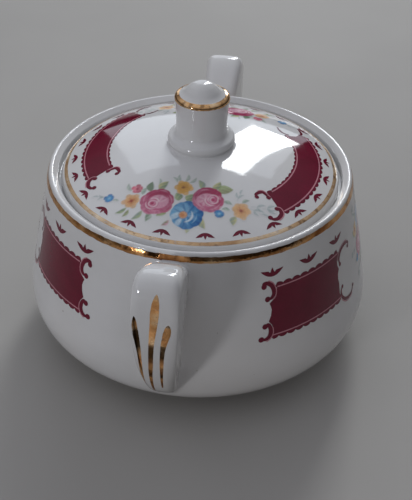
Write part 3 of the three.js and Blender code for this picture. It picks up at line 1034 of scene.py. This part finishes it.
    def blue(self, x, y, r, bright):
        """An open blue flower, almost white on one side, with an orange middle."""
        fx = x + 0.17 * r
        for k in range(7):
            a = 0.4 + 2 * math.pi * k / 7 + self.rng.uniform(-0.12, 0.12)
            sun = (0.5 + 0.5 * math.cos(a - bright)) ** 1.7
            tip = DEEP_BLUE * (1 - sun) + (SKY * 0.6 + PALE_SKY * 0.4) * sun
            root = SKY * (1 - sun) + PALE_SKY * sun
            reach = r * self.rng.uniform(0.86, 1.04)
            self.petal(fx, y, a, reach, r * 0.9, root, tip, blunt=1.55)
            self.petal(fx, y, a + 0.15, reach * 0.72, r * 0.30,
                       WHITE_SKY, PALE_SKY * sun + SKY * (1 - sun), 0.35 + 0.5 * sun, blunt=1.3)
            self.petal(fx, y, a - 0.32, reach * 0.9, r * 0.10, DEEP_BLUE, DEEP_BLUE, 0.5)
        self.bow(x + 0.06 * r, y, r * 0.46, -85, 125, r * 0.14, WHITE_SKY, 0.85)
        self.bow(x + 0.1 * r, y, r * 0.66, -50, 60, r * 0.08, PALE_SKY, 0.6)
        self.dab(x - 0.45 * r, y - 0.1 * r, r * 0.17, WHITE_SKY, 0.55, squash=1.8, turn=0.6)
        self.dab(x - 0.2 * r, y - 0.5 * r, r * 0.15, WHITE_SKY, 0.5, squash=1.8, turn=1.2)
        self.dab(x, y, r * 0.27, SKY * 0.8, 0.75)
        self.dab(x, y, r * 0.23, PEACH)
        self.dab(x - r * 0.03, y - r * 0.02, r * 0.13, ORANGE, 0.8)
        for k in range(8):
            a = 0.8 * k
            self.dab(x + r * 0.2 * math.cos(a), y + r * 0.2 * math.sin(a), 0.16, ORANGE * 0.8, 0.7)

    def daisy(self, x, y, r, root, tip, core):
        """A loose many-petalled flower."""
        for count, size, start in ((6, 1.0, 0.0), (6, 0.85, 0.5), (5, 0.6, 0.3)):
            for k in range(count):
                a = start + 2 * math.pi * k / count + self.rng.uniform(-0.15, 0.15)
                tone = self.rng.uniform(0.85, 1.12)
                self.petal(x, y, a, r * size * self.rng.uniform(0.86, 1.08), r * 0.6, root * tone,
                           tip * tone, 0.8, blunt=1.3)
        for k in range(9):
            a = 0.7 * k
            reach = r * self.rng.uniform(0.25, 0.55)
            self.petal(x, y, a, reach, 0.4, core, root, 0.5)
        self.dab(x, y, r * 0.14, core, 0.85)

    def bloom(self, x, y, r, edge, root, core):
        """A small five-petalled flower."""
        for k in range(5):
            a = 0.3 + 2 * math.pi * k / 5 + self.rng.uniform(-0.15, 0.15)
            tone = self.rng.uniform(0.8, 1.25)
            self.petal(x, y, a, r * self.rng.uniform(0.85, 1.1), r * 0.8, root * tone,
                       edge * tone, 0.9, blunt=1.25)
        self.dab(x, y, r * 0.22, core, 0.8)

    def piece(self, name, at, body):
        shown = self.cover > 0.03
        cell = shown[:-1, :-1] | shown[1:, :-1] | shown[:-1, 1:] | shown[1:, 1:]
        used = np.zeros(self.u.shape, bool)
        for di in (0, 1):
            for dj in (0, 1):
                used[di:di + cell.shape[0], dj:dj + cell.shape[1]] |= cell
        number = np.cumsum(used).reshape(used.shape) - 1
        points, normals = at(self.u[used], self.v[used], FILM)
        i, j = np.nonzero(cell)
        faces = np.stack([number[i, j], number[i + 1, j], number[i + 1, j + 1],
                          number[i, j + 1]], 1)
        a, b, c = (points[faces[0, k]] for k in range(3))
        if np.dot(np.cross(b - a, c - a), normals[faces[0, 0]]) < 0:
            faces = faces[:, ::-1]
        inks = np.concatenate([self.colour[used], self.cover[used][:, None]], 1)
        made = make_mesh(name, points, faces.tolist(), FLOWER, normals, inks)
        settle(made, body)


def lid_spray(seed):
    """The long low spray of the lid: two roses, a blue flower between, small ones beside."""
    p = Painting((-32.0, -9.5), (29.0, 16.0), seed)
    for x, y, turn, length, pairs, size in (
            (-26.9, 5.6, 168, 2.6, 1, 2.4),
            (19.9, 5.4, 8, 4.6, 2, 3.2), (19.4, 4.4, -14, 3.6, 1, 3.0),
            (15.0, 6.6, 76, 2.6, 1, 2.6)):
        p.sprig(x, y, turn, length, pairs, size, BLUE_GREEN, PALE_AQUA, 0.6)
    for x, y, turn, length in ((-4.6, 11.0, 128, 3.2), (-3.6, 11.4, 104, 3.6), (-2.2, 11.4, 82, 3.8),
                               (-0.9, 11.0, 56, 3.6), (-10.4, 10.0, 96, 2.8),
                               (-19.0, 7.2, 112, 4.0), (-22.4, 3.6, 172, 2.6)):
        p.leaf(x, y, turn, length, length * 0.36, GREY_GREEN, PALE_GREEN, 0.7)
    for x, y, turn, length, width, dark, light in (
            (-12.6, 6.8, 92, 4.4, 2.6, GREEN * 0.85, GREEN),
            (-9.8, 7.2, 62, 4.8, 2.8, GREEN, YELLOW_GREEN),
            (-14.2, -0.8, 226, 4.4, 1.9, GREY_GREEN, LIGHT_GREEN),
            (-12.0, -1.2, 262, 3.8, 2.2, GREEN, PALE_GREEN),
            (-19.4, 0.6, 208, 4.0, 1.5, GREEN, LIGHT_GREEN),
            (-18.6, -0.2, 236, 3.2, 1.4, OLIVE, LIGHT_GREEN),
            (-15.2, 5.6, 70, 3.2, 1.8, GREY_GREEN, PALE_GREEN),
            (-6.4, -1.6, 200, 3.4, 2.0, OLIVE, LIGHT_GREEN),
            (-5.2, -4.2, 222, 3.0, 1.5, OLIVE, PALE_ROSE),
            (-3.2, 3.4, 112, 3.4, 2.8, GREEN, LIGHT_GREEN),
            (-0.2, 3.0, 70, 3.8, 3.0, GREEN, LIGHT_GREEN),
            (4.4, -2.2, 296, 4.4, 2.4, GREY_GREEN, YELLOW_GREEN),
            (0.6, -6.0, 275, 2.4, 1.6, YELLOW_GREEN, PALE_GREEN),
            (3.6, 8.8, 112, 4.4, 2.2, GREY_GREEN, LIGHT_GREEN),
            (6.8, 9.4, 62, 4.4, 2.6, GREEN * 0.9, YELLOW_GREEN),
            (8.6, 8.6, 24, 5.2, 3.8, OLIVE, LIGHT_GREEN),
            (10.6, 5.0, 350, 3.2, 1.6, GREY_GREEN, PALE_GREEN),
            (15.2, 0.2, 262, 3.6, 2.3, GREY_GREEN, YELLOW_GREEN),
            (13.2, 2.2, 186, 2.8, 1.4, GREY_GREEN, PALE_GREEN),
            (16.6, 5.8, 40, 3.0, 1.4, GREY_GREEN, PALE_GREEN)):
        p.leaf(x, y, turn, length, width, dark, light, 0.85)
    p.daisy(-18.3, 3.2, 3.3, ORANGE, LEMON * 0.4 + PEACH * 0.6, ink("#9a3f3a"))
    p.bloom(-17.2, 8.1, 2.1, ink("#c2375c"), ink("#e08a98"), ink("#a02a48"))
    p.daisy(-2.5, 9.0, 3.5, YELLOW * 0.7 + ORANGE * 0.3, YELLOW, ink("#94602f"))
    p.daisy(16.6, 2.8, 3.5, PEACH * 0.5 + ORANGE * 0.5, LEMON * 0.4 + PEACH * 0.6, ink("#a55a50"))
    p.blue(-1.1, -1.9, 5.6, 3.3)
    p.rose(-10.0, 2.9, 5.5, (-0.26, -0.16), 0.3)
    p.rose(5.8, 5.0, 5.4, (0.32, 0.02), 0.9)
    p.bloom(-25.8, 5.0, 2.0, DEEP_BLUE, SKY, PALE_SKY)
    p.bloom(10.0, 0.1, 2.0, DEEP_BLUE, SKY, PALE_SKY)
    return p


SPRAY_R = 34.0
lid_spray(3).piece("lid_flowers_front", lid_patch(LID_FRONT, SPRAY_R), "lid")
lid_spray(8).piece("lid_flowers_rear", lid_patch(LID_FRONT + 180, SPRAY_R), "lid")


def bowl_spray(seed):
    """The upright posy on the bowl's side, between two panels."""
    p = Painting((-15.0, -15.0), (15.0, 17.0), seed)
    for x, y, turn, length, pairs, size in (
            (-5.0, 8.0, 122, 4.4, 3, 2.8), (5.0, 9.0, 60, 4.2, 3, 2.8), (0.0, 11.0, 92, 3.0, 2, 2.6),
            (8.6, -3.0, -12, 3.4, 2, 2.4), (-8.8, -1.0, 188, 3.4, 2, 2.4),
            (-5.0, -8.6, 240, 3.6, 2, 2.6), (4.0, -8.8, 296, 3.6, 2, 2.6)):
        p.sprig(x, y, turn, length, pairs, size, BLUE_GREEN, PALE_AQUA, 0.72)
    for x, y, turn, length, width, dark, light in (
            (-6.0, 3.0, 150, 5.2, 2.6, GREEN, LIGHT_GREEN),
            (-4.0, 6.0, 118, 5.0, 2.4, GREY_GREEN, PALE_GREEN),
            (3.6, 6.4, 72, 5.2, 2.5, GREEN, YELLOW_GREEN),
            (6.4, 4.0, 24, 5.0, 2.6, OLIVE, YELLOW_GREEN),
            (-5.6, -4.0, 206, 5.2, 2.4, OLIVE, LIGHT_GREEN),
            (6.0, -3.6, 332, 4.8, 2.5, GREEN, LIGHT_GREEN),
            (-1.6, -7.0, 258, 4.8, 2.3, GREEN, PALE_GREEN),
            (2.4, -6.4, 292, 4.8, 2.2, OLIVE, YELLOW_GREEN)):
        p.leaf(x, y, turn, length, width, dark, light)
    p.daisy(-7.2, 4.8, 3.0, ORANGE * 0.6 + PEACH * 0.4, LEMON, ink("#9a4a35"))
    p.daisy(6.2, -5.6, 3.0, YELLOW * 0.6 + ORANGE * 0.4, YELLOW, ink("#8a5a34"))
    p.bloom(7.4, 6.8, 2.1, DEEP_ROSE * 0.6 + ink("#d8506a") * 0.4, ink("#d9607a"), LEMON)
    p.blue(-1.2, 6.4, 4.3, 0.6)
    p.rose(-3.0, -2.4, 5.2, (-0.2, -0.14), 0.3)
    p.rose(4.8, 2.0, 4.9, (0.3, 0.06), 0.9)
    p.bloom(-8.0, -6.0, 1.9, SKY, DEEP_BLUE * 0.6 + SKY * 0.4, DEEP_BLUE)
    p.bloom(1.6, -8.0, 1.8, DEEP_BLUE, SKY, WHITE_SKY)
    return p


POSY_Z = 46.0
bowl_spray(5).piece("bowl_flowers_right", wall_patch(0, POSY_Z), "bowl")
bowl_spray(6).piece("bowl_flowers_left", wall_patch(180, POSY_Z), "bowl")

# ---- gold strokes on the handles ----------------------------------------------------------


def strap_patch(angle, lean):
    """Local plan on a handle's outer face: u across it, v the height on the outside curve."""
    spin = spin_about_z(angle)
    top = int(np.argmax(strap_outside[:, 1]))
    heights = strap_outside[top:, 1][::-1]
    places = np.arange(STRAP_STEPS, top - 1, -1)
    every = np.arange(STRAP_STEPS + 1)

    def at(u, v, lift):
        index = np.interp(v, heights, places)
        outer, inner = (np.stack([np.interp(index, every, curve[:, k]) for k in range(2)], -1)
                        for curve in (strap_outside, strap_inside))
        middle, along = (outer + inner) / 2, outer - inner
        half_thick = np.hypot(along[..., 0], along[..., 1]) / 2
        along = along / (2 * half_thick[..., None])
        half_wide = np.interp(index, every, strap_widths) / 2
        edge = np.minimum(HANDLE_EDGE, half_thick * EDGE_SHARE)
        over = np.clip(np.abs(u) - (half_wide - edge), 0, edge * 0.98)
        drop = edge - np.sqrt(edge**2 - over**2) + CROWN * (u / half_wide) ** 2
        thick = half_thick - drop
        tilt = over / edge + 2 * CROWN * np.abs(u) / half_wide**2
        tilt = np.sign(u) * np.minimum(tilt, 0.97)
        level = np.sqrt(1 - tilt**2)
        shift = lean * (middle[..., 1] - LEAN_Z)
        p = np.stack([middle[..., 0] + along[..., 0] * thick, u + shift,
                      middle[..., 1] + along[..., 1] * thick], -1)
        n = np.stack([along[..., 0] * level, tilt, along[..., 1] * level], -1)
        return (p + n * lift) @ spin, n @ spin
    return at


def brush_leaf(film, at, points, width, dark_reflection_span, tip):
    """A long slim leaf of gold with painted reflections along it: the given tone at its tip, a
    painted highlight just below, and a painted dark reflection over the span of its length that is
    given for it.
    """
    path = spline(points, 60)
    t = np.linspace(0, 1, len(path))
    fat = np.interp(t, [0, 0.04, 0.11, 0.22, 0.5, 0.75, 1], [0.02, 0.42, 0.82, 1, 0.62, 0.5, 0.2])
    # Tone along the stroke: on some strokes a painted dark reflection at the tip, then a painted
    # highlight, a painted dark reflection over the given span, and a steadier tone further down.
    reflection_tone = np.interp(t, [0, 0.07, 0.1, dark_reflection_span[0], dark_reflection_span[0] + 0.04, dark_reflection_span[1], dark_reflection_span[1] + 0.1, 1],
                      [tip, tip, 1.15, 1.0, 0.12, 0.07, 0.75, 0.9])
    film.ribbon(at, path, width * fat, FILM, (reflection_tone[:, None] * FULL_GOLD)[:, None], across=5)


# Each stroke: its path on a handle's face, its width, the span along it that carries a painted dark
# reflection, and the painted tone at its tip.
STROKES = [([(0.75, 69.0), (0.45, 64.3), (0.05, 58), (-0.65, 50.5), (-1.1, 42), (-1.5, 34),
             (-1.6, 22)], 2.65, (0.48, 0.61), 1.0),
           ([(-5.75, 61.6), (-5.55, 57), (-4.9, 51.5), (-4.45, 45.4), (-4.4, 37), (-4.3, 28),
             (-4.1, 21.5)], 1.95, (0.16, 0.40), 0.35),
           ([(4.5, 59.3), (4.0, 56), (2.95, 50.5), (2.4, 45), (2.0, 38), (1.5, 27)], 2.25,
            (0.38, 0.60), 0.3)]
strokes = Film()
for angle, lean, _ in HANDLES:
    face = strap_patch(angle, lean)
    for stroke in STROKES:
        brush_leaf(strokes, face, *stroke)
strokes.piece("handle_gilding", GOLD, "bowl", "gilding")

# ---- floor, light and camera ----------------------------------------------------------------


def floor_material():
    m = new_material("floor")
    m.set(Base_Color=m.ramp(m.noise(6, 3), [(0.3, ink("#9f9c98")), (0.7, ink("#a7a4a0"))]),
          Roughness=0.85)
    return m.owner


FLOOR_HALF = 12.0               # metres
mesh = bpy.data.meshes.new("floor")
corners = [(x * FLOOR_HALF, y * FLOOR_HALF, 0) for x, y in ((-1, -1), (1, -1), (1, 1), (-1, 1))]
mesh.from_pydata(corners, [], [(0, 1, 2, 3)])
floor = bpy.data.objects.new("floor", mesh)
floor.data.materials.append(floor_material())
bpy.context.scene.collection.objects.link(floor)

AIM = Vector((0, 0, RIM_Z * MM))    # the lights and the camera are set about the rim's centre


def from_sky(azimuth, elevation, distance):
    a, e = math.radians(azimuth), math.radians(elevation)
    way = Vector((math.cos(a) * math.cos(e), math.sin(a) * math.cos(e), math.sin(e)))
    return AIM + way * distance


def area_light(name, azimuth, elevation, distance, width, height, power, colour, roll=0.0):
    data = bpy.data.lights.new(name, "AREA")
    data.shape = "RECTANGLE"
    data.size, data.size_y = width, height
    data.energy = power
    data.color = colour
    light = bpy.data.objects.new(name, data)
    light.location = from_sky(azimuth, elevation, distance)
    way = (light.location - AIM).to_track_quat("Z", "Y")
    turn = Matrix.Rotation(math.radians(roll), 3, "Z")
    light.rotation_euler = (way.to_matrix() @ turn).to_euler()
    bpy.context.scene.collection.objects.link(light)


area_light("window", 85.5, 30, 1.6, 0.31, 1.02, 11.5, (0.95, 0.98, 1.0), roll=-7)
area_light("curtain", 97.5, 26, 2.0, 1.42, 1.5, 8.5, (0.84, 0.91, 1.0))
area_light("side", -120.5, 11, 1.1, 0.12, 0.14, 1.85, (0.93, 0.95, 1.0))
area_light("fill", -150, 24, 1.6, 0.8, 0.45, 0.6, (0.93, 0.95, 1.0))

world = bpy.data.worlds.new("room")
sky = Nodes(world)
axes = sky.add("ShaderNodeSeparateXYZ")
sky.link(sky.where["Generated"], axes.inputs["Vector"])
SKY_TONES = ((0.0, (0.016, 0.014, 0.013)), (0.14, (0.035, 0.032, 0.031)),
             (0.36, (0.13, 0.127, 0.13)), (1.0, (0.62, 0.64, 0.70)))
height = sky.curve(axes.outputs["Z"], 0.0, 0.9, 0.0, 1.0, "LINEAR")
power = sky.curve(axes.outputs["X"], -0.6, 0.9, 1.05, 0.5, "LINEAR")
backdrop = sky.tree.nodes["Background"].inputs
sky.link(sky.ramp(height, SKY_TONES), backdrop["Color"])
sky.link(power, backdrop["Strength"])
bpy.context.scene.world = world

CAMERA_AZIMUTH = -82.0          # where the camera stands, round the bowl from +X
CAMERA_PITCH = 36.61            # how far down it looks
CAMERA_ROLL = -1.64
CAMERA_DEPTH = 341.5            # to the centre of the rim, along the view
RIM_RIGHT, RIM_DOWN = -1.78, -29.4   # where the rim's centre lies off the view's middle
LENS = 87.4

pitch, roll = math.radians(CAMERA_PITCH), math.radians(CAMERA_ROLL)
spin = spin_about_z(CAMERA_AZIMUTH + 90)
ahead = np.array([0, math.cos(pitch), -math.sin(pitch)])
level, down = np.array([1.0, 0, 0]), np.array([0, -math.sin(pitch), -math.cos(pitch)])
right = math.cos(roll) * level + math.sin(roll) * down
below = -math.sin(roll) * level + math.cos(roll) * down
place = -(RIM_RIGHT * right + RIM_DOWN * below + CAMERA_DEPTH * ahead)
right, below, ahead, place = (w @ spin for w in (right, below, ahead, place))

camera_data = bpy.data.cameras.new("camera")
camera_data.sensor_fit = "HORIZONTAL"
camera_data.sensor_width = 36.0
camera_data.lens = LENS
camera_data.clip_start = 0.01
camera = bpy.data.objects.new("camera", camera_data)
turn = Matrix([[right[i], -below[i], -ahead[i]] for i in range(3)])
camera.matrix_world = Matrix.Translation(AIM + Vector(place * MM)) @ turn.to_4x4()
bpy.context.scene.collection.objects.link(camera)
bpy.context.scene.camera = camera
bpy.context.scene.view_settings.view_transform = "Standard"
